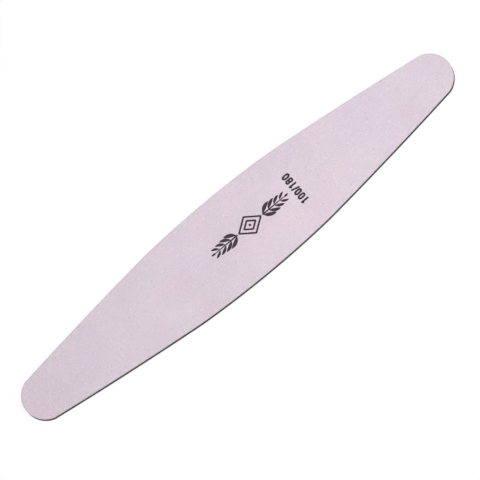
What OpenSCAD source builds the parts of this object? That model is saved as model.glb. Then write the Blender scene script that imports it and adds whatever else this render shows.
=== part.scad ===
// Double-sided nail file: a stiff core board between two abrasive sheets,
// die-cut to a long lozenge with a rounded waist, slightly full flanks and two
// rounded tips.
// The file lies flat on the XY plane with its length along X, its centre on
// the Z axis and its fine side down.

/* [Outline] */
// Length from tip to tip
file_length = 178; // [150:1:200]
// Width across the waist
file_width = 31.6; // [27:0.2:36]
// How far the waist's round runs to each side of the middle, along the file
waist_reach = 27; // [20:0.5:34]
// Angle of a flank to the centre line where it leaves the waist
flank_angle = 6; // [5:0.1:7]
// How much the edge turns at the slight corner between waist and flank
waist_turn = 1.7; // [1:0.1:2.4]
// Radius of the long arc along each flank
flank_radius = 1400; // [1000:50:2000]
// How far each rounded tip stands past its two corners
tip_rise = 5.7; // [4.6:0.1:7]

/* [Core] */
// Thickness of the plastic core board
core_thickness = 2; // [1:0.1:3]

/* [Abrasive sheets] */
// Thickness of the adhesive film under each sheet
adhesive_thickness = 0.05; // [0.03:0.01:0.1]
// Thickness of each paper backing
paper_thickness = 0.16; // [0.1:0.01:0.25]
// Thickness of the resin that holds the grain
make_coat_thickness = 0.04; // [0.02:0.01:0.08]
// Height of the grain on the coarse, upper side
coarse_grain_height = 0.16; // [0.12:0.01:0.25]
// Height of the grain on the fine, lower side
fine_grain_height = 0.09; // [0.06:0.01:0.15]
// Thickness of the coloured top coat over the grain
top_coat_thickness = 0.03; // [0.02:0.01:0.06]

/* [Die-cut edge] */
// How far in from the cut the die rolls the grain over, where the top coat ends
edge_roll = 0.35; // [0.1:0.05:0.6]

/* [Hidden] */

// Outline: a waist arc, a long flank arc and a tip arc, which meet at slight
// corners. The centres given are those of the waist's upper side and of the
// upper flank and the tip at the +X end.
half_length = file_length / 2;
half_width = file_width / 2;
waist_angle = flank_angle - waist_turn;
waist_radius = waist_reach / sin(waist_angle);
waist_centre = [0, half_width - waist_radius];
waist_end = waist_centre + waist_radius * [sin(waist_angle), cos(waist_angle)];
flank_centre = waist_end - flank_radius * [sin(flank_angle), cos(flank_angle)];
corner_x = half_length - tip_rise;
corner_y = flank_centre.y + sqrt(pow(flank_radius, 2) - pow(corner_x - flank_centre.x, 2));
tip_radius = (pow(corner_y, 2) + pow(tip_rise, 2)) / (2 * tip_rise);
tip_centre = [half_length - tip_radius, 0];

// How far along the file the flank's arc comes closest to a point inside it,
// which is where it lies furthest inside a disc round that point
function flank_closest_x(point) =
    flank_centre.x + flank_radius * (point.x - flank_centre.x) / norm(point - flank_centre);

waist_limit_x = flank_closest_x(waist_centre);
tip_limit_x = flank_closest_x(tip_centre);

// Heights of the layers, each resting on the one below
lower_top_z = 0;
lower_grain_z = lower_top_z + top_coat_thickness;
lower_make_z = lower_grain_z + fine_grain_height;
lower_paper_z = lower_make_z + make_coat_thickness;
lower_adhesive_z = lower_paper_z + paper_thickness;
core_z = lower_adhesive_z + adhesive_thickness;
upper_adhesive_z = core_z + core_thickness;
upper_paper_z = upper_adhesive_z + adhesive_thickness;
upper_make_z = upper_paper_z + paper_thickness;
upper_grain_z = upper_make_z + make_coat_thickness;
upper_top_z = upper_grain_z + coarse_grain_height;

// How far the strips that pass parts of the outline through reach beyond it
cut_overrun = 2;
past_tip_x = half_length + cut_overrun;

// Thickness of the two thin slices that a rolled coat's hull joins
hull_skin = 0.001;

waist_facets = 720;
flank_facets = 1440;
tip_facets = 120;

lilac = [0.86, 0.80, 0.85];
pale_lilac = [0.84, 0.78, 0.83];
resin_lilac = [0.80, 0.74, 0.79];
paper_white = [0.92, 0.90, 0.90];
film_clear = [0.90, 0.89, 0.86];
charcoal = [0.18, 0.17, 0.18];

// In the shapes below, inset is how far the layer's edge stands in from the cut.

// A strip across the whole file, from one place along it to another
module strip(from_x, to_x) {
    translate([from_x, -half_width - cut_overrun])
        square([to_x - from_x, file_width + 2 * cut_overrun]);
}

// What both long arcs of the +X end enclose
module between_flanks(inset) {
    intersection() {
        translate(flank_centre)
            circle(flank_radius - inset, $fn = flank_facets);
        mirror([0, 1])
            translate(flank_centre)
                circle(flank_radius - inset, $fn = flank_facets);
    }
}

// What the waist's two arcs enclose, and all that lies past their ends
module inside_waist(inset) {
    intersection() {
        translate(waist_centre)
            circle(waist_radius - inset, $fn = waist_facets);
        mirror([0, 1])
            translate(waist_centre)
                circle(waist_radius - inset, $fn = waist_facets);
    }
    strip(waist_limit_x, past_tip_x);
    strip(-past_tip_x, -waist_limit_x);
}

// What the two tips' arcs enclose, and all that lies between them
module inside_tips(inset) {
    strip(-tip_limit_x, tip_limit_x);
    translate(tip_centre)
        circle(tip_radius - inset, $fn = tip_facets);
    mirror([1, 0])
        translate(tip_centre)
            circle(tip_radius - inset, $fn = tip_facets);
}

// The die-cut outline
module outline(inset = 0) {
    intersection() {
        between_flanks(inset);
        mirror([1, 0])
            between_flanks(inset);
        inside_waist(inset);
        inside_tips(inset);
    }
}

// A layer whose edge stands straight up
module layer(z, height, inset = 0) {
    translate([0, 0, z])
        linear_extrude(height)
            outline(inset);
}

// A coat whose edge leans in from one inset at its underside to another at its
// top
module rolled_coat(z, height, low_inset, top_inset) {
    hull() {
        layer(z, hull_skin, low_inset);
        layer(z + height - hull_skin, hull_skin, top_inset);
    }
}

module lower_top_coat() {
    color(lilac)
        layer(lower_top_z, top_coat_thickness, edge_roll);
}

module lower_grain_coat() {
    color(pale_lilac)
        rolled_coat(lower_grain_z, fine_grain_height, edge_roll, 0);
}

module lower_make_coat() {
    color(resin_lilac)
        layer(lower_make_z, make_coat_thickness);
}

module lower_paper_backing() {
    color(paper_white)
        layer(lower_paper_z, paper_thickness);
}

module lower_adhesive_film() {
    color(film_clear)
        layer(lower_adhesive_z, adhesive_thickness);
}

module core_board() {
    color(charcoal)
        layer(core_z, core_thickness);
}

module upper_adhesive_film() {
    color(film_clear)
        layer(upper_adhesive_z, adhesive_thickness);
}

module upper_paper_backing() {
    color(paper_white)
        layer(upper_paper_z, paper_thickness);
}

module upper_make_coat() {
    color(resin_lilac)
        layer(upper_make_z, make_coat_thickness);
}

module upper_grain_coat() {
    color(pale_lilac)
        rolled_coat(upper_grain_z, coarse_grain_height, 0, edge_roll);
}

module upper_top_coat() {
    color(lilac)
        layer(upper_top_z, top_coat_thickness, edge_roll);
}

lower_top_coat();
lower_grain_coat();
lower_make_coat();
lower_paper_backing();
lower_adhesive_film();
core_board();
upper_adhesive_film();
upper_paper_backing();
upper_make_coat();
upper_grain_coat();
upper_top_coat();
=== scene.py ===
"""Looks of the double-sided nail file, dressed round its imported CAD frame.

Lengths are in metres and places are in the frame's own axes: X along the file,
Y across it, Z up from the table, with the coarse printed side on top.
"""

import math

import bpy
import numpy as np
from mathutils import Color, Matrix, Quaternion, Vector
from mathutils.bvhtree import BVHTree


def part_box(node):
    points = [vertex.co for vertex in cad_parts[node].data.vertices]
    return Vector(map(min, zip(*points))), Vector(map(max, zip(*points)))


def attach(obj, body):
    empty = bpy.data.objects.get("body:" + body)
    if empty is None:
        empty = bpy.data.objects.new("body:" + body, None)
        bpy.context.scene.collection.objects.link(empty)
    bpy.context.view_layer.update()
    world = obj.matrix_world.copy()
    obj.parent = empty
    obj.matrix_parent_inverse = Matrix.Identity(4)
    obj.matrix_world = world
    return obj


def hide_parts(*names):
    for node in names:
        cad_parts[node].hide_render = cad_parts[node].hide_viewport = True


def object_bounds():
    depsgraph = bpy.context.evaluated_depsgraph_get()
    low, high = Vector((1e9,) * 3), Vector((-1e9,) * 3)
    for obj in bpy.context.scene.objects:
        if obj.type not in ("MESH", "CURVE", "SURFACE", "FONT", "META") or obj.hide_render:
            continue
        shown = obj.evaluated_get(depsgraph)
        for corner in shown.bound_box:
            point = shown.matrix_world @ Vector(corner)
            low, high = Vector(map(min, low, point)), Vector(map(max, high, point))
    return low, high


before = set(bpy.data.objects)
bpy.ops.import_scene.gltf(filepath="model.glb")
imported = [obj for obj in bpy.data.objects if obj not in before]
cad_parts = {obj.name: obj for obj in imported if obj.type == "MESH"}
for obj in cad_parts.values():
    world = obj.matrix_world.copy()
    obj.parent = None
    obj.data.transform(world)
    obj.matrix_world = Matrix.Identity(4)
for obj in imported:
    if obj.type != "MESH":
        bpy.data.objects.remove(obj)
cad_low, cad_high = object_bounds()

# Outline: the same driving sizes as the CAD, whose overall size is in the frame

WAIST_REACH = 0.027
FLANK_DEGREES = 6
WAIST_TURN_DEGREES = 1.7
FLANK_RADIUS = 1.4
TIP_RISE = 0.0057
# The waist's arc bounds the outline only up to this share of its reach
WAIST_LIMIT_SHARE = 1.5
# How quickly a grid's columns, straight at the waist, take on the tip's round
TIP_ROUND_POWER = 10

_, core_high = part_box("core_board")
half_length = core_high.x
half_width = core_high.y
flank_angle = math.radians(FLANK_DEGREES)
waist_angle = math.radians(FLANK_DEGREES - WAIST_TURN_DEGREES)
waist_radius = WAIST_REACH / math.sin(waist_angle)
waist_centre_y = half_width - waist_radius
waist_end = np.array([WAIST_REACH, waist_centre_y + waist_radius * math.cos(waist_angle)])
flank_centre = waist_end - FLANK_RADIUS * np.array([math.sin(flank_angle), math.cos(flank_angle)])
corner_x = half_length - TIP_RISE
corner_y = flank_centre[1] + math.sqrt(FLANK_RADIUS**2 - (corner_x - flank_centre[0])**2)
tip_radius = (corner_y**2 + TIP_RISE**2) / (2 * TIP_RISE)
tip_centre = np.array([half_length - tip_radius, 0])


def half_width_at(x, inset):
    """Half the file's width at places along it, its edge drawn in by inset."""
    x = np.abs(x)
    flank = flank_centre[1] + np.sqrt((FLANK_RADIUS - inset)**2 - (x - flank_centre[0])**2)
    waist = waist_centre_y + np.sqrt((waist_radius - inset)**2 - x**2)
    return np.where(x < WAIST_LIMIT_SHARE * WAIST_REACH, np.minimum(flank, waist), flank)


def corner_at(inset):
    """Where a flank's arc crosses the tip's arc, both drawn in by inset."""
    gap = tip_centre - flank_centre
    distance = np.linalg.norm(gap)
    flank, tip = FLANK_RADIUS - inset, tip_radius - inset
    along = (flank**2 - tip**2 - distance**2) / (2 * distance)
    across = math.sqrt(tip**2 - along**2)
    unit = gap / distance
    return tip_centre + along * unit + across * np.array([unit[1], -unit[0]])


def tip_bulge(y, inset):
    """How far the tip's arc stands past its corners, at places across the file."""
    return tip_centre[0] + np.sqrt((tip_radius - inset)**2 - y**2) - corner_at(inset)[0]


def patch(inset, columns, rows):
    """Points of a grid that fills the outline drawn in by inset, as [column, row, xy]."""
    end_x, end_y = corner_at(inset)
    along_shares, across_shares = np.linspace(-1, 1, columns + 1), np.linspace(-1, 1, rows + 1)
    along_share, across_share = np.meshgrid(along_shares, across_shares, indexing="ij")
    bulge = np.abs(along_share)**TIP_ROUND_POWER * tip_bulge(across_share * end_y, inset)
    x = along_share * end_x + np.sign(along_share) * bulge
    y = across_share * half_width_at(along_share * end_x, inset)
    return np.stack([x, y], axis=-1)


def perimeter(spacing):
    """An even number of evenly spaced points along the cut edge, anticlockwise from the +X tip."""
    end_x, end_y = corner_at(0)
    steps = math.ceil(end_x / spacing)
    rise = np.linspace(0, end_y, steps, endpoint=False)
    tip = np.stack([end_x + tip_bulge(rise, 0), rise], axis=-1)
    along = np.linspace(end_x, 0, steps, endpoint=False)
    flank = np.stack([along, half_width_at(along, 0)], axis=-1)
    quarter = np.concatenate([tip, flank])
    middle = np.array([[0, half_width_at(0, 0)]])
    half = np.concatenate([quarter, middle, quarter[::-1] * [-1, 1]])
    whole = np.concatenate([half, half[-2::-1] * [1, -1]])
    lengths = np.linalg.norm(np.diff(whole, axis=0), axis=1)
    travelled = np.concatenate([[0], np.cumsum(lengths)])
    count = 2 * round(travelled[-1] / spacing / 2)
    places = np.linspace(0, travelled[-1], count, endpoint=False)
    return np.stack([np.interp(places, travelled, line) for line in whole.T], axis=-1)


def left_of(points, closed):
    """Unit vectors to the left of a line of points, as it is followed."""
    if closed:
        ahead = np.roll(points, -1, axis=0) - np.roll(points, 1, axis=0)
    else:
        ahead = np.gradient(points, axis=0)
    ahead = ahead / np.linalg.norm(ahead, axis=1, keepdims=True)
    return np.stack([-ahead[:, 1], ahead[:, 0]], axis=-1)


# Meshes

def eased(share):
    """A share from 0 to 1 that starts and ends gently."""
    return share**2 * (3 - 2 * share)


def soft_noise(x, y, size, seed):
    """Smooth random values between -1 and 1, whose bumps are about size across."""
    random = np.random.default_rng(seed)
    column, row = np.floor(x / size).astype(int), np.floor(y / size).astype(int)
    column_start, row_start = column.min(), row.min()
    counts = column.max() - column_start + 2, row.max() - row_start + 2
    lattice = random.uniform(-1, 1, counts)
    column_share, row_share = eased(x / size - column), eased(y / size - row)
    near, low = column - column_start, row - row_start
    bottom = lattice[near, low] * (1 - column_share) + lattice[near + 1, low] * column_share
    top = lattice[near, low + 1] * (1 - column_share) + lattice[near + 1, low + 1] * column_share
    return bottom * (1 - row_share) + top * row_share


def make_piece(name, vertices, faces, material):
    """A smooth mesh object that rides on the file's one body."""
    mesh = bpy.data.meshes.new(name)
    mesh.from_pydata(np.asarray(vertices).tolist(), [], faces)
    mesh.update()
    mesh.polygons.foreach_set("use_smooth", [True] * len(mesh.polygons))
    mesh.materials.append(material)
    piece = bpy.data.objects.new(name, mesh)
    bpy.context.scene.collection.objects.link(piece)
    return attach(piece, "root")


def grid_faces(columns, rows, flip):
    """The four corners of each cell of a grid with that many cells."""
    corner = (np.arange(columns)[:, None] * (rows + 1) + np.arange(rows)).ravel()
    cells = np.stack([corner, corner + rows + 1, corner + rows + 2, corner + 1], axis=-1)
    return (cells[:, ::-1] if flip else cells).tolist()


def ring_faces(count, start):
    """The four corners of each cell between a ring of points and the next ring."""
    here = start + np.arange(count)
    after = np.roll(here, -1)
    return np.stack([here, after, after + count, here + count], axis=-1).tolist()


def cap_faces(count, start, flip):
    """Strips that close a ring of points, from the tip where it starts to the other tip."""
    faces = []
    for step in range(count // 2):
        corners = [step, step + 1, count - step - 1, (count - step) % count]
        corners = [start + corner for corner in dict.fromkeys(corners)]
        faces.append(corners[::-1] if flip else corners)
    return faces


# Materials

# How many finer and finer layers a noise adds up
SOFT_DETAIL = 2
CLOUDY_DETAIL = 3
FINE_DETAIL = 4
FULL_RANGE = (0, 1)


class Finish:
    """A material, with short ways to add the texture nodes that the finishes here share."""

    def __init__(self, name, specular):
        self.material = bpy.data.materials.new(name)
        self.material.use_nodes = True
        self.nodes = self.material.node_tree.nodes
        self.links = self.material.node_tree.links
        self.shader = self.nodes["Principled BSDF"]
        self.shader.inputs["Specular IOR Level"].default_value = specular
        self.object_place = self.nodes.new("ShaderNodeTexCoord").outputs["Object"]

    def set(self, socket, value):
        """Gives a node's input a value, or the output of another node."""
        if isinstance(value, bpy.types.NodeSocket):
            self.links.new(value, socket)
        else:
            socket.default_value = value

    def stretched(self, scales):
        """The place on the object, with each axis scaled."""
        mapping = self.nodes.new("ShaderNodeMapping")
        mapping.inputs["Scale"].default_value = scales
        self.links.new(self.object_place, mapping.inputs["Vector"])
        return mapping.outputs["Vector"]

    def noise(self, size, detail, place=None):
        """Cloudy values from 0 to 1, with features about size across."""
        node = self.nodes.new("ShaderNodeTexNoise")
        node.inputs["Scale"].default_value = 1 / size
        node.inputs["Detail"].default_value = detail
        self.links.new(place or self.object_place, node.inputs["Vector"])
        return node.outputs["Fac"]

    def tints(self, size):
        """Soft random colours, in patches about size across."""
        return self.noise(size, SOFT_DETAIL).node.outputs["Color"]

    def cells(self, size):
        """Distance to the nearest cell's middle and a random value per cell, cells about size across."""
        node = self.nodes.new("ShaderNodeTexVoronoi")
        node.inputs["Scale"].default_value = 1 / size
        self.links.new(self.object_place, node.inputs["Vector"])
        split = self.nodes.new("ShaderNodeSeparateColor")
        self.links.new(node.outputs["Color"], split.inputs["Color"])
        return node.outputs["Distance"], split.outputs["Red"]

    def spread(self, value, between, over=FULL_RANGE):
        """A value's range spread evenly over another, and held at its ends."""
        node = self.nodes.new("ShaderNodeMapRange")
        self.set(node.inputs["Value"], value)
        node.inputs["From Min"].default_value, node.inputs["From Max"].default_value = between
        node.inputs["To Min"].default_value, node.inputs["To Max"].default_value = over
        return node.outputs["Result"]

    def sum_of(self, *weighted):
        """The sum of (value, weight) pairs."""
        total = 0
        for value, weight in weighted:
            node = self.nodes.new("ShaderNodeMath")
            node.operation = "MULTIPLY_ADD"
            self.set(node.inputs[0], value)
            node.inputs[1].default_value = weight
            self.set(node.inputs[2], total)
            total = node.outputs["Value"]
        return total

    def product(self, first, second):
        """Two values multiplied."""
        node = self.nodes.new("ShaderNodeMath")
        node.operation = "MULTIPLY"
        self.set(node.inputs[0], first)
        self.set(node.inputs[1], second)
        return node.outputs["Value"]

    def mixed(self, first, second, share):
        """Two colours mixed by a share of the second."""
        node = self.nodes.new("ShaderNodeMix")
        node.data_type = "RGBA"
        self.set(node.inputs["Factor"], share)
        first_input, second_input = (socket for socket in node.inputs if socket.type == "RGBA")
        self.set(first_input, first)
        self.set(second_input, second)
        return next(socket for socket in node.outputs if socket.type == "RGBA")

    def attribute(self, name):
        """A value that the mesh carries at its vertices."""
        node = self.nodes.new("ShaderNodeAttribute")
        node.attribute_name = name
        return node.outputs["Fac"]

    def bump(self, height, depth):
        """Tilts the surface as a relief of that depth would."""
        node = self.nodes.new("ShaderNodeBump")
        node.inputs["Distance"].default_value = depth
        self.links.new(height, node.inputs["Height"])
        self.links.new(node.outputs["Normal"], self.shader.inputs["Normal"])

    def colour(self, value):
        """Colours the surface evenly or by a texture."""
        self.set(self.shader.inputs["Base Color"], value)

    def roughness(self, value):
        """Makes the surface rough evenly or by a texture."""
        self.set(self.shader.inputs["Roughness"], value)


SCREEN_FULL = 255


def screen_colour(*levels):
    """The scene's colour for the red, green and blue levels of a screen."""
    shown = Color([level / SCREEN_FULL for level in levels])
    return (*shown.from_srgb_to_scene_linear(), 1)


WHITE = screen_colour(255, 255, 255)
LILAC = screen_colour(222, 207, 218)
LILAC_PALE = screen_colour(242, 229, 240)
LILAC_DEEP = screen_colour(217, 200, 213)
LILAC_PIT_SHADE = screen_colour(191, 170, 184)
GRAIN_PALE = screen_colour(248, 244, 249)
RIM_RUBBED_AND_SHADE_GREY = screen_colour(212, 202, 208)
PAPER_WHITE = screen_colour(226, 222, 220)
PAPER_SHADE = screen_colour(196, 189, 190)
RESIN_PALE = screen_colour(205, 195, 200)
RESIN_DEEP = screen_colour(176, 160, 168)
FILM_CLEAR = screen_colour(214, 211, 200)
FILM_DUSTY = screen_colour(180, 176, 168)
CORE_DARK = screen_colour(79, 76, 78)
CORE_WORN = screen_colour(108, 104, 106)
INK_PLUM = screen_colour(31, 10, 27)
INK_THIN = screen_colour(60, 39, 54)

# Coat: sizes of its broad patches, its uneven dye, its mottle and the single grains that stand out
CLOUD_SIZE = 0.014
DYE_SIZE = 0.012
MOTTLE_SIZE = 0.0014
SPECK_SIZE = 0.00035
COAT_SPECULAR = 0.35
# What the patches, the mottle and the grains add to its tone, and the dye to its colour
CLOUD_SHARE = 0.53
MOTTLE_SHARE = 0.2
GRAIN_SHARE = 0.27
DYE_SHARE = 0.07
# The random values at which a single grain stands out, pale or deep, and by what share
PALE_SPECKS = (0.965, 1)
PALE_SPECK_SHARES = (0, 0.52)
DEEP_SPECKS = (0.04, 0)
DEEP_SPECK_SHARES = (0, 0.34)
# Between these distances from its middle, as shares of its size, a grain gives way to a pit's partly
# painted shade
PIT_SHARES = (0.42, 0.85)
PIT_SHADE_SHARES = (0, 0.3)
# The random values at which a single grain glints, and the roughness of the others and of the glossiest
GLINTING_GRAINS = (0.88, 1)
GLINT_ROUGHNESS = (0.85, 0.4)
# Relief of a grain, as shares of its depth: its dome, its own height and its broken faces
DOME_SHARE = -0.8
HEIGHT_SHARE = 0.6
BROKEN_SHARE = 0.5
# The size of a broken face, as a share of its grain
BROKEN_SIZE_SHARE = 0.5
# Where the rolled edge turns grey, partly rubbed grain and partly painted shade, and how unevenly
RIM_RUBBED_AND_SHADE_SHARES = (0.25, 0.65)
RIM_UNEVEN_SHARE = 0.3


def coated_grain(name, grain_size, depth):
    """Abrasive grain under a matt coloured coat that lets single grains show through."""
    finish = Finish(name, COAT_SPECULAR)
    cloud = finish.noise(CLOUD_SIZE, CLOUDY_DETAIL)
    mottle = finish.noise(MOTTLE_SIZE, FINE_DETAIL)
    distance, grain = finish.cells(grain_size)
    _, speck = finish.cells(SPECK_SIZE)
    tone = finish.sum_of((cloud, CLOUD_SHARE), (mottle, MOTTLE_SHARE), (grain, GRAIN_SHARE))
    coat = finish.mixed(LILAC_DEEP, LILAC_PALE, tone)
    coat = finish.mixed(coat, finish.tints(DYE_SIZE), DYE_SHARE)
    # The pits' darker lilac is partly the bared make coat's colour and partly painted shade between grains
    coat = finish.mixed(coat, LILAC_PIT_SHADE, finish.spread(distance, PIT_SHARES, PIT_SHADE_SHARES))
    coat = finish.mixed(coat, GRAIN_PALE, finish.spread(speck, PALE_SPECKS, PALE_SPECK_SHARES))
    coat = finish.mixed(coat, RESIN_DEEP, finish.spread(speck, DEEP_SPECKS, DEEP_SPECK_SHARES))
    rim = finish.sum_of((finish.attribute("rim"), 1), (mottle, RIM_UNEVEN_SHARE))
    # The rolled edge's grey is partly rubbed grain and partly painted shade of the edge rolling away
    finish.colour(finish.mixed(coat, RIM_RUBBED_AND_SHADE_GREY, finish.spread(rim, RIM_RUBBED_AND_SHADE_SHARES)))
    finish.roughness(finish.spread(grain, GLINTING_GRAINS, GLINT_ROUGHNESS))
    broken = finish.noise(grain_size * BROKEN_SIZE_SHARE, CLOUDY_DETAIL)
    relief = finish.sum_of((distance, DOME_SHARE), (grain, HEIGHT_SHARE), (broken, BROKEN_SHARE))
    finish.bump(relief, depth)
    return finish.material


COARSE_GRAIN = 0.00017
COARSE_DEPTH = 0.00004
FINE_GRAIN = 0.00012
FINE_DEPTH = 0.00003
coarse_finish = coated_grain("coarse_coated_grain", COARSE_GRAIN, COARSE_DEPTH)
fine_finish = coated_grain("fine_coated_grain", FINE_GRAIN, FINE_DEPTH)

# The two abrasive faces, each one grid whose outer rings roll over at the cut

# How far in from the cut the roll reaches, and how many rings of the grid it takes
EDGE_ROLL = 0.00035
EDGE_RINGS = 5
FACE_COLUMNS = 700
FACE_ROWS = 140
# What the highest crest leaves free under the CAD's top, enough for the ink
CLEAR_OF_TOP = 0.000012
# How far a grid point may stray from its place, as a share of its cell
STRAY_SHARE = 0.3
# Grains' heights gather a little under the middle of their range
GRAIN_SPREAD = (2, 2.5)
# Slow waves of the sheet, broad and narrow
WAVE_SIZES = (0.006, 0.0021)


def abrasive_face(name, grain_node, top_node, side, relief, waviness, finish, seed):
    """One sanded face with the rolled edge that the die leaves, side 1 for up and -1 for down."""
    grain_low, grain_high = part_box(grain_node)
    top_low, top_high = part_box(top_node)
    foot_z = grain_low.z if side > 0 else grain_high.z
    crest_z = top_high.z if side > 0 else top_low.z
    rise = abs(crest_z - foot_z) - CLEAR_OF_TOP
    grid = np.zeros((FACE_COLUMNS + 1, FACE_ROWS + 1, 2))
    lift = np.ones(grid.shape[:2])
    rim = np.zeros(grid.shape[:2])
    for ring in range(EDGE_RINGS + 1):
        turn = ring / EDGE_RINGS * math.pi / 2
        inner = (slice(ring, FACE_COLUMNS + 1 - ring), slice(ring, FACE_ROWS + 1 - ring))
        inset = EDGE_ROLL * (1 - math.cos(turn))
        grid[inner] = patch(inset, FACE_COLUMNS - 2 * ring, FACE_ROWS - 2 * ring)
        lift[inner] = math.sin(turn)
        rim[inner] = 1 - ring / EDGE_RINGS
    random = np.random.default_rng(seed)
    inside = rim == 0
    for axis in range(2):
        cell = np.abs(np.gradient(grid[..., axis], axis=axis))
        grid[..., axis] += inside * random.uniform(-STRAY_SHARE, STRAY_SHARE, inside.shape) * cell
    x, y = grid[..., 0], grid[..., 1]
    grains = random.beta(*GRAIN_SPREAD, inside.shape)
    waves = [soft_noise(x, y, size, seed + step) for step, size in enumerate(WAVE_SIZES)]
    drop = relief * (1 - grains) + waviness * (1 - np.mean(waves, axis=0))
    z = foot_z + side * lift * (rise - drop)
    vertices = np.concatenate([grid, z[..., None]], axis=-1).reshape(-1, 3)
    face = make_piece(name, vertices, grid_faces(FACE_COLUMNS, FACE_ROWS, side < 0), finish)
    layer = face.data.attributes.new("rim", "FLOAT", "POINT")
    layer.data.foreach_set("value", rim.ravel())
    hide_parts(grain_node, top_node)
    return face


COARSE_RELIEF = 0.00003
COARSE_WAVINESS = 0.00001
COARSE_SEED = 11
FINE_RELIEF = 0.000018
FINE_WAVINESS = 0.000006
FINE_SEED = 23
upper_face = abrasive_face("upper_abrasive_face", "upper_grain_coat", "upper_top_coat", 1,
                           COARSE_RELIEF, COARSE_WAVINESS, coarse_finish, COARSE_SEED)
abrasive_face("lower_abrasive_face", "lower_grain_coat", "lower_top_coat", -1,
              FINE_RELIEF, FINE_WAVINESS, fine_finish, FINE_SEED)

# Layers of the board that show at the die-cut edge

CUT_SPACING = 0.00016
# How far the cut stands in, as shares of its relief: evenly, in the die's marks and in broader breaks
CUT_MEAN_SHARE = 0.5
CUT_MARK_SHARE = 0.3
CUT_BREAK_SHARE = 0.2
BREAK_TIMES_MARK = 3
# What is left of that at a layer's own two edges
CUT_LIP_SHARE = 0.35


def cut_layer(name, node, rows, relief, mark_size, finish, seed):
    """A layer with the marks of the die down its cut edge, in place of its plain CAD solid."""
    low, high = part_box(node)
    edge = perimeter(CUT_SPACING)
    count = len(edge)
    inward = left_of(edge, closed=True)
    place = np.arange(count) * CUT_SPACING
    rings = []
    for row, z in enumerate(np.linspace(low.z, high.z, rows + 1)):
        height = np.full(count, z)
        marks = soft_noise(place, height, mark_size, seed)
        breaks = soft_noise(place, BREAK_TIMES_MARK * height, BREAK_TIMES_MARK * mark_size, seed + 1)
        draw = relief * (CUT_MEAN_SHARE + CUT_MARK_SHARE * marks + CUT_BREAK_SHARE * breaks)
        draw *= CUT_LIP_SHARE + (1 - CUT_LIP_SHARE) * math.sin(math.pi * row / rows)
        rings.append(np.column_stack([edge + inward * draw[:, None], height]))
    faces = cap_faces(count, 0, flip=True) + cap_faces(count, rows * count, flip=False)
    for row in range(rows):
        faces += ring_faces(count, row * count)
    layer = make_piece(name, np.concatenate(rings), faces, finish)
    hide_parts(node)


CORE_SPECULAR = 0.12
# Scales of a texture along each axis that make its marks stand upright
UPRIGHT = (1, 1, 0.12)
SHEAR_MARK_SIZE = 0.00022
RUB_SIZE = 0.004
DUST_SIZE = 0.00012
SHEAR_MARK_SHARE = 0.7
RUB_SHARE = 0.5
WORN_BETWEEN = (0.55, 0.95)
WORN_SHARES = (0, 0.55)
DUST_BETWEEN = (0.66, 0.78)
DUST_SHARES = (0, 0.3)
SHEAR_BETWEEN = (0.3, 0.7)
SHEAR_ROUGHNESS = (0.6, 0.8)
SHEAR_DEPTH = 0.00002


def core_finish():
    """Dark rigid plastic, rubbed paler in upright marks where the die sheared it."""
    finish = Finish("core_plastic_cut", CORE_SPECULAR)
    marks = finish.noise(SHEAR_MARK_SIZE, FINE_DETAIL, finish.stretched(UPRIGHT))
    rub = finish.noise(RUB_SIZE, CLOUDY_DETAIL)
    dust = finish.noise(DUST_SIZE, SOFT_DETAIL)
    wear = finish.sum_of((marks, SHEAR_MARK_SHARE), (rub, RUB_SHARE))
    body = finish.mixed(CORE_DARK, CORE_WORN, finish.spread(wear, WORN_BETWEEN, WORN_SHARES))
    finish.colour(finish.mixed(body, LILAC, finish.spread(dust, DUST_BETWEEN, DUST_SHARES)))
    finish.roughness(finish.spread(marks, SHEAR_BETWEEN, SHEAR_ROUGHNESS))
    finish.bump(marks, SHEAR_DEPTH)
    return finish.material


PAPER_ROUGHNESS = 0.9
PAPER_SPECULAR = 0.2
# Scales of a texture along each axis that make its marks lie flat
LYING_FLAT = (1, 1, 2.5)
FIBRE_SIZE = 0.00018
GRIME_SIZE = 0.003
FIBRE_SHARE = 0.6
GRIME_SHARE = 0.4
FIBRE_BETWEEN = (0.35, 0.7)
FIBRE_DEPTH = 0.00002


def paper_finish():
    """Latex-filled white paper, seen edge on, with its fibres and a little grime."""
    finish = Finish("paper_edge", PAPER_SPECULAR)
    fibres = finish.noise(FIBRE_SIZE, FINE_DETAIL, finish.stretched(LYING_FLAT))
    grime = finish.noise(GRIME_SIZE, CLOUDY_DETAIL)
    shade = finish.spread(finish.sum_of((fibres, FIBRE_SHARE), (grime, GRIME_SHARE)), FIBRE_BETWEEN)
    finish.colour(finish.mixed(PAPER_WHITE, PAPER_SHADE, shade))
    finish.roughness(PAPER_ROUGHNESS)
    finish.bump(fibres, FIBRE_DEPTH)
    return finish.material


GLOSS_SPECULAR = 0.4
CLOT_BETWEEN = (0.32, 0.68)
CLOT_ROUGHNESS = (0.3, 0.6)
CLOT_DEPTH = 0.00001
FILM_DUST_SIZE = 0.0006
RESIN_CLOT_SIZE = 0.0004


def clotted_finish(name, clear, dull, clot_size):
    """A thin glossy layer that dust or grain dulls in clots along the cut."""
    finish = Finish(name, GLOSS_SPECULAR)
    clots = finish.noise(clot_size, FINE_DETAIL)
    finish.colour(finish.mixed(clear, dull, finish.spread(clots, CLOT_BETWEEN)))
    finish.roughness(finish.spread(clots, CLOT_BETWEEN, CLOT_ROUGHNESS))
    finish.bump(clots, CLOT_DEPTH)
    return finish.material


CORE_ROWS = 10
CORE_RELIEF = 0.00005
CORE_MARK = 0.00045
CORE_SEED = 31
PAPER_ROWS = 3
PAPER_RELIEF = 0.00004
PAPER_MARK = 0.0003
PAPER_SEEDS = {"upper": 41, "lower": 43}

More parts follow.
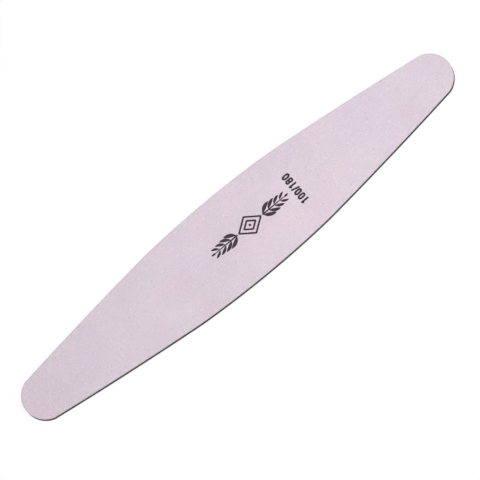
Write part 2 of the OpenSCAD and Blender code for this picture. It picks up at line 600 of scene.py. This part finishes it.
cut_layer("core_with_cut_edge", "core_board", CORE_ROWS, CORE_RELIEF, CORE_MARK,
          core_finish(), CORE_SEED)
paper_material = paper_finish()
film_material = clotted_finish("adhesive_film_edge", FILM_CLEAR, FILM_DUSTY, FILM_DUST_SIZE)
resin_material = clotted_finish("make_coat_edge", RESIN_PALE, RESIN_DEEP, RESIN_CLOT_SIZE)
for side, seed in PAPER_SEEDS.items():
    cut_layer(f"{side}_paper_with_cut_edge", f"{side}_paper_backing", PAPER_ROWS, PAPER_RELIEF, PAPER_MARK,
              paper_material, seed)
    for layer, material in (("adhesive_film", film_material), ("make_coat", resin_material)):
        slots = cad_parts[f"{side}_{layer}"].data.materials
        slots.clear()
        slots.append(material)

# Print: ribbons of ink that lie on the grain

# A ribbon's cells: their greatest length and least number along a straight line, and the same across
INK_STEP = 0.00009
INK_LEAST_STEPS = 2
INK_ROW_WIDTH = 0.00013
INK_LEAST_ROWS = 4
# How far the ink stands over the grain, and how far it sinks in
INK_HEIGHT = 0.00001
INK_DEPTH = 0.00003
# How far over the file the rays that find its grain start
RAY_START = 0.001
INK_SPECULAR = 0.4
INK_PIT_SIZE = 0.0003
INK_COVER_SIZE = 0.0008
INK_PIT_SHARE = 0.6
INK_COVER_SHARE = 0.7
INK_THIN_BETWEEN = (0.55, 0.95)
INK_ROUGHNESS = (0.5, 0.75)
INK_BUMP_SHARES = (-0.5, 0.5)
INK_BUMP = 0.00002

face_tree = BVHTree.FromObject(upper_face, bpy.context.evaluated_depsgraph_get())


def ink_finish():
    """Dark plum ink, thinner where it bridges the pits between grains."""
    finish = Finish("plum_ink", INK_SPECULAR)
    pits, grain = finish.cells(INK_PIT_SIZE)
    cover = finish.noise(INK_COVER_SIZE, FINE_DETAIL)
    thin = finish.spread(finish.sum_of((pits, INK_PIT_SHARE), (cover, INK_COVER_SHARE)), INK_THIN_BETWEEN)
    finish.colour(finish.mixed(INK_PLUM, INK_THIN, thin))
    finish.roughness(finish.spread(grain, FULL_RANGE, INK_ROUGHNESS))
    finish.bump(finish.sum_of(*zip((pits, cover), INK_BUMP_SHARES)), INK_BUMP)
    return finish.material


def spaced(corners, closed):
    """Points an ink step apart along straight lines from corner to corner."""
    corners = np.array(corners)
    ends = np.roll(corners, -1, axis=0) if closed else corners[1:]
    points = []
    for start, end in zip(corners, ends):
        steps = max(INK_LEAST_STEPS, math.ceil(np.linalg.norm(end - start) / INK_STEP))
        points.append(start + (end - start) * np.linspace(0, 1, steps, endpoint=False)[:, None])
    if not closed:
        points.append(corners[-1:])
    return np.concatenate(points)


# The oval's exponent: 2 would make it a plain ellipse, and more makes it squarer
OVAL_SQUARENESS = 2.5


def oval(middle, reach, rise):
    """Points round an upright, slightly squared oval."""
    steps = math.ceil(math.tau * rise / INK_STEP)
    turn = np.linspace(0, math.tau, steps, endpoint=False)
    power = 2 / OVAL_SQUARENESS
    x = np.sign(np.cos(turn)) * np.abs(np.cos(turn))**power
    y = np.sign(np.sin(turn)) * np.abs(np.sin(turn))**power
    return np.stack([middle[0] + reach * x, middle[1] + rise * y], axis=-1)


class Print:
    """Collects ribbons of ink and lays them on the abrasive face as one mesh."""

    def __init__(self, place, turn_degrees=0):
        self.place = np.array(place)
        turn = math.radians(turn_degrees)
        self.spin = np.array([[math.cos(turn), -math.sin(turn)], [math.sin(turn), math.cos(turn)]])
        self.vertices = []
        self.faces = []

    def ribbon(self, path, widths, closed=False):
        """A stroke of ink along a path, whose width may change along it."""
        rows = max(INK_LEAST_ROWS, math.ceil(np.max(widths) / INK_ROW_WIDTH))
        widths = np.broadcast_to(widths, len(path))
        shares = np.linspace(-1, 1, rows + 1) / 2
        offsets = left_of(path, closed)[:, None, :] * widths[:, None, None] * shares[None, :, None]
        flat = (path[:, None, :] + offsets) @ self.spin.T + self.place
        start = len(self.vertices)
        top, under = [], []
        for x, y in flat.reshape(-1, 2):
            hit = face_tree.ray_cast(Vector((x, y, cad_high.z + RAY_START)), Vector((0, 0, -1)))[0]
            top.append((x, y, min(hit.z + INK_HEIGHT, cad_high.z)))
            under.append((x, y, hit.z - INK_DEPTH))
        self.vertices += top + under
        self.skin(start, len(path), rows, closed)

    def skin(self, start, length, rows, closed):
        """The faces of one ribbon: its top, its underside and the walls between."""
        wide = rows + 1
        below = length * wide
        for step in range(length if closed else length - 1):
            here, there = start + step * wide, start + (step + 1) % length * wide
            for row in range(rows):
                quad = [here + row, there + row, there + row + 1, here + row + 1]
                self.faces.append(quad)
                self.faces.append([corner + below for corner in quad[::-1]])
            self.wall(here, there, below)
            self.wall(there + rows, here + rows, below)
        if not closed:
            end = start + (length - 1) * wide
            for row in range(rows):
                self.wall(start + row + 1, start + row, below)
                self.wall(end + row, end + row + 1, below)

    def wall(self, first, second, below):
        """The face under one side of a ribbon's top."""
        self.faces.append([first, first + below, second + below, second])

    def piece(self, name, material):
        """Makes one piece of the ribbons laid so far."""
        make_piece(name, self.vertices, self.faces, material)


# Plain grit numbers, across the file

GRIT_NUMBERS = "100/180"
DIGIT_HEIGHT = 0.00295
DIGIT_WIDTH = 0.00168
DIGIT_PITCH = 0.00183
SLASH_PITCH = 0.00096
DIGIT_STROKE = 0.00067
NUMBERS_PLACE = (0.02444, -0.00002)
NUMBERS_TURN_DEGREES = 90
# Where the stem of a 1 stands and how far its flag reaches and drops, as shares of half the width
STEM_PLACE_SHARE = 0.25
FLAG_REACH_SHARE = 1.1
FLAG_DROP_SHARE = 0.9
# The lower bowl's share of the height of an 8, and the upper bowl's share of its width
LOWER_BOWL_SHARE = 0.53
UPPER_BOWL_WIDTH_SHARE = 0.9
# How far the ends of the slash stand from its middle, as a share of its pitch
SLASH_LEAN_SHARE = 0.4
THIN_STROKE_SHARE = 0.9


def draw_digit(printed, digit, middle):
    """One digit or slash, upright, with the middle of its cell at a place along the line."""
    top = DIGIT_HEIGHT / 2
    rise = top - DIGIT_STROKE / 2
    reach = (DIGIT_WIDTH - DIGIT_STROKE) / 2
    thin_stroke = DIGIT_STROKE * THIN_STROKE_SHARE
    if digit == "0":
        printed.ribbon(oval((middle, 0), reach, rise), DIGIT_STROKE, closed=True)
    if digit == "8":
        lower, upper = rise * LOWER_BOWL_SHARE, rise * (1 - LOWER_BOWL_SHARE)
        printed.ribbon(oval((middle, lower - rise), reach, lower), DIGIT_STROKE, closed=True)
        upper_reach = reach * UPPER_BOWL_WIDTH_SHARE
        printed.ribbon(oval((middle, rise - upper), upper_reach, upper), DIGIT_STROKE, closed=True)
    if digit == "1":
        stem = middle + reach * STEM_PLACE_SHARE
        flag = (stem - reach * FLAG_REACH_SHARE, rise - reach * FLAG_DROP_SHARE)
        printed.ribbon(spaced([(stem, -top), (stem, top)], closed=False), DIGIT_STROKE)
        printed.ribbon(spaced([(stem, rise), flag], closed=False), thin_stroke)
    if digit == "/":
        lean = SLASH_PITCH * SLASH_LEAN_SHARE
        printed.ribbon(spaced([(middle - lean, -top), (middle + lean, top)], closed=False), thin_stroke)


def print_numbers(material):
    """The file's two grit numbers."""
    printed = Print(NUMBERS_PLACE, NUMBERS_TURN_DEGREES)
    pitches = [SLASH_PITCH if digit == "/" else DIGIT_PITCH for digit in GRIT_NUMBERS]
    place = -sum(pitches) / 2
    for digit, pitch in zip(GRIT_NUMBERS, pitches):
        draw_digit(printed, digit, place + pitch / 2)
        place += pitch
    printed.piece("grit_numbers_ink", material)


# A traditional ornament along the file: a double lozenge with a leafy sprig to each side

ORNAMENT_PLACE = (0.0055, 0.0003)
LOZENGE_HALF_LENGTH = 0.0046
LOZENGE_HALF_HEIGHT = 0.0034
LOZENGE_STROKE = 0.0006
LOZENGE_SHARES = (1, 0.52)
HEART_WIDTH = 0.0009
STEM_START = 0.0052
STEM_LENGTH = 0.0094
STEM_WIDTH = 0.0006
STEM_END_SHARE = 0.45
LEAF_PAIRS = 4
LEAF_LENGTH = 0.0044
LEAF_WIDTH = 0.0013
LEAF_SHRINK_SHARE = 0.45
LEAF_LEAN_DEGREES = 46
LEAF_CURVE_SHARE = 0.75
LEAF_STEM_GAP = 0.00018
# The first pair's place along the stem, and the stretch of a half wave that shapes a leaf
FIRST_PAIR_SHARE = 0.04
LEAF_WAVE_SHARES = (0.03, 0.97)
LEAF_FULLNESS = 0.8
# The bud at the stem's end, as shares of the stem's length and of a leaf's width
BUD_SHARES = (0.97, 1.16)
BUD_WIDTH_SHARE = 0.55


def leaf_widths(width, steps):
    """Widths along a leaf, pointed at both ends."""
    wave = np.sin(math.pi * np.linspace(*LEAF_WAVE_SHARES, steps))
    return width * wave**LEAF_FULLNESS


def draw_leaf(printed, foot, size, lean, curve):
    """A leaf of a size, from its foot, leaning out and curving back towards the stem."""
    steps = math.ceil(LEAF_LENGTH * size / INK_STEP)
    turn = lean - curve * np.linspace(0, 1, steps)
    strides = np.stack([np.cos(turn), np.sin(turn)], axis=-1) * INK_STEP
    printed.ribbon(np.array(foot) + np.cumsum(strides, axis=0), leaf_widths(LEAF_WIDTH * size, steps))


def draw_sprig(printed, way):
    """A stem with pairs of leaves and a bud, pointing along +X for way 1 and along -X for -1."""
    stem = spaced([(way * STEM_START, 0), (way * (STEM_START + STEM_LENGTH), 0)], closed=False)
    printed.ribbon(stem, STEM_WIDTH * np.linspace(1, STEM_END_SHARE, len(stem)))
    lean = math.radians(LEAF_LEAN_DEGREES)
    for pair in range(LEAF_PAIRS):
        share = pair / LEAF_PAIRS
        size = 1 - LEAF_SHRINK_SHARE * share
        foot_x = way * (STEM_START + STEM_LENGTH * (share + FIRST_PAIR_SHARE))
        for up in (1, -1):
            turn = up * lean if way > 0 else math.pi - up * lean
            curve = up * way * lean * LEAF_CURVE_SHARE
            draw_leaf(printed, (foot_x, up * LEAF_STEM_GAP), size, turn, curve)
    bud = spaced([(way * (STEM_START + STEM_LENGTH * share), 0) for share in BUD_SHARES], closed=False)
    printed.ribbon(bud, leaf_widths(LEAF_WIDTH * BUD_WIDTH_SHARE, len(bud)))


def print_ornament(material):
    """The ornament, in the same ink as the numbers."""
    printed = Print(ORNAMENT_PLACE)
    for share in LOZENGE_SHARES:
        length, height = share * LOZENGE_HALF_LENGTH, share * LOZENGE_HALF_HEIGHT
        corners = [(length, 0), (0, height), (-length, 0), (0, -height)]
        printed.ribbon(spaced(corners, closed=True), LOZENGE_STROKE, closed=True)
    heart = spaced([(-HEART_WIDTH / 2, 0), (HEART_WIDTH / 2, 0)], closed=False)
    printed.ribbon(heart, leaf_widths(HEART_WIDTH, len(heart)))
    for way in (1, -1):
        draw_sprig(printed, way)
    printed.piece("sprig_ornament_ink", material)


ink = ink_finish()
print_numbers(ink)
print_ornament(ink)

# Stage: a white floor that keeps the file's soft shadow, and plain studio light

FLOOR_HALF_SIDE = 3
FLOOR_CORNER_SHARES = ((-1, -1), (1, -1), (1, 1), (-1, 1))
FLOOR_ROUGHNESS = 1
FLOOR_GREY = (0.08, 0.08, 0.08, 1)
FLOOR_GLOW = 0.93
WORLD_LEVEL = 0.34
# The key lamp is so near that its light falls off along the file, as in the photograph
KEY_PLACE = Vector((0.075, -0.085, 0.34))
KEY_SIDE = 0.35
KEY_POWER = 1.05
FILL_PLACE = Vector((-0.5, 0.9, 1.6))
FILL_SIDE = 1.2
FILL_POWER = 1.7


def seen_directly(nodes, links):
    """1 for rays from the camera and for those that gloss or glass passes on, otherwise 0."""
    path = nodes.new("ShaderNodeLightPath")
    total = path.outputs["Is Camera Ray"]
    for kind in ("Is Glossy Ray", "Is Transmission Ray"):
        node = nodes.new("ShaderNodeMath")
        node.operation = "MAXIMUM"
        links.new(total, node.inputs[0])
        links.new(path.outputs[kind], node.inputs[1])
        total = node.outputs["Value"]
    return total


def make_floor():
    """A wide matt floor, whose glow whitens it where it is seen directly and lights nothing."""
    corners = [(FLOOR_HALF_SIDE * x, FLOOR_HALF_SIDE * y, 0) for x, y in FLOOR_CORNER_SHARES]
    mesh = bpy.data.meshes.new("studio_floor")
    mesh.from_pydata(corners, [], [tuple(range(len(corners)))])
    floor = bpy.data.objects.new("studio_floor", mesh)
    bpy.context.scene.collection.objects.link(floor)
    finish = Finish("floor_white", specular=0)
    finish.colour(FLOOR_GREY)
    finish.roughness(FLOOR_ROUGHNESS)
    finish.shader.inputs["Emission Color"].default_value = WHITE
    glow = finish.product(seen_directly(finish.nodes, finish.links), FLOOR_GLOW)
    finish.set(finish.shader.inputs["Emission Strength"], glow)
    mesh.materials.append(finish.material)


def make_world():
    """White where it is seen directly, and an even light of the world's level elsewhere."""
    world = bpy.data.worlds.new("studio")
    bpy.context.scene.world = world
    world.use_nodes = True
    nodes, links = world.node_tree.nodes, world.node_tree.links
    level = nodes.new("ShaderNodeMapRange")
    level.inputs["To Min"].default_value = WORLD_LEVEL
    links.new(seen_directly(nodes, links), level.inputs["Value"])
    links.new(level.outputs["Result"], nodes["Background"].inputs["Strength"])
    nodes["Background"].inputs["Color"].default_value = WHITE


def area_lamp(name, place, side, power):
    """A square soft lamp aimed at the file's middle."""
    lamp = bpy.data.lights.new(name, "AREA")
    lamp.size = side
    lamp.energy = power
    holder = bpy.data.objects.new(name, lamp)
    holder.location = place
    holder.rotation_euler = place.to_track_quat("Z", "Y").to_euler()
    bpy.context.scene.collection.objects.link(holder)


# Camera, from a fit of the outline to the photograph's edges and to the core's dark line

# Tilt is from straight overhead towards -Y, azimuth turns that way towards -X, and roll turns the picture
CAMERA_AZIMUTH_DEGREES = 4
CAMERA_TILT_DEGREES = 13.4
CAMERA_ROLL_DEGREES = 35.71
CAMERA_DISTANCE = 4
PIXELS_PER_METRE = 3075
IMAGE_SIDE_PIXELS = 480
ORIGIN_RIGHT_PIXELS = -1.42
ORIGIN_UP_PIXELS = 1.99
# In millimetres, the unit of the camera's own sizes
SENSOR_WIDTH = 36


def make_camera():
    """The photograph's camera, which looks at the frame's origin, a little off its picture's middle."""
    azimuth, tilt = math.radians(CAMERA_AZIMUTH_DEGREES), math.radians(CAMERA_TILT_DEGREES)
    sideways = math.sin(tilt)
    back = Vector((-sideways * math.sin(azimuth), -sideways * math.cos(azimuth), math.cos(tilt)))
    roll = Quaternion((0, 0, 1), -math.radians(CAMERA_ROLL_DEGREES))
    data = bpy.data.cameras.new("photo_camera")
    data.sensor_width = SENSOR_WIDTH
    data.lens = PIXELS_PER_METRE * CAMERA_DISTANCE * SENSOR_WIDTH / IMAGE_SIDE_PIXELS
    data.shift_x = -ORIGIN_RIGHT_PIXELS / IMAGE_SIDE_PIXELS
    data.shift_y = -ORIGIN_UP_PIXELS / IMAGE_SIDE_PIXELS
    camera = bpy.data.objects.new("photo_camera", data)
    camera.location = back * CAMERA_DISTANCE
    camera.rotation_euler = (back.to_track_quat("Z", "Y") @ roll).to_euler()
    bpy.context.scene.collection.objects.link(camera)
    bpy.context.scene.camera = camera


make_floor()
make_world()
area_lamp("key_light", KEY_PLACE, KEY_SIDE, KEY_POWER)
area_lamp("fill_light", FILL_PLACE, FILL_SIDE, FILL_POWER)
make_camera()
bpy.context.scene.view_settings.view_transform = "Standard"
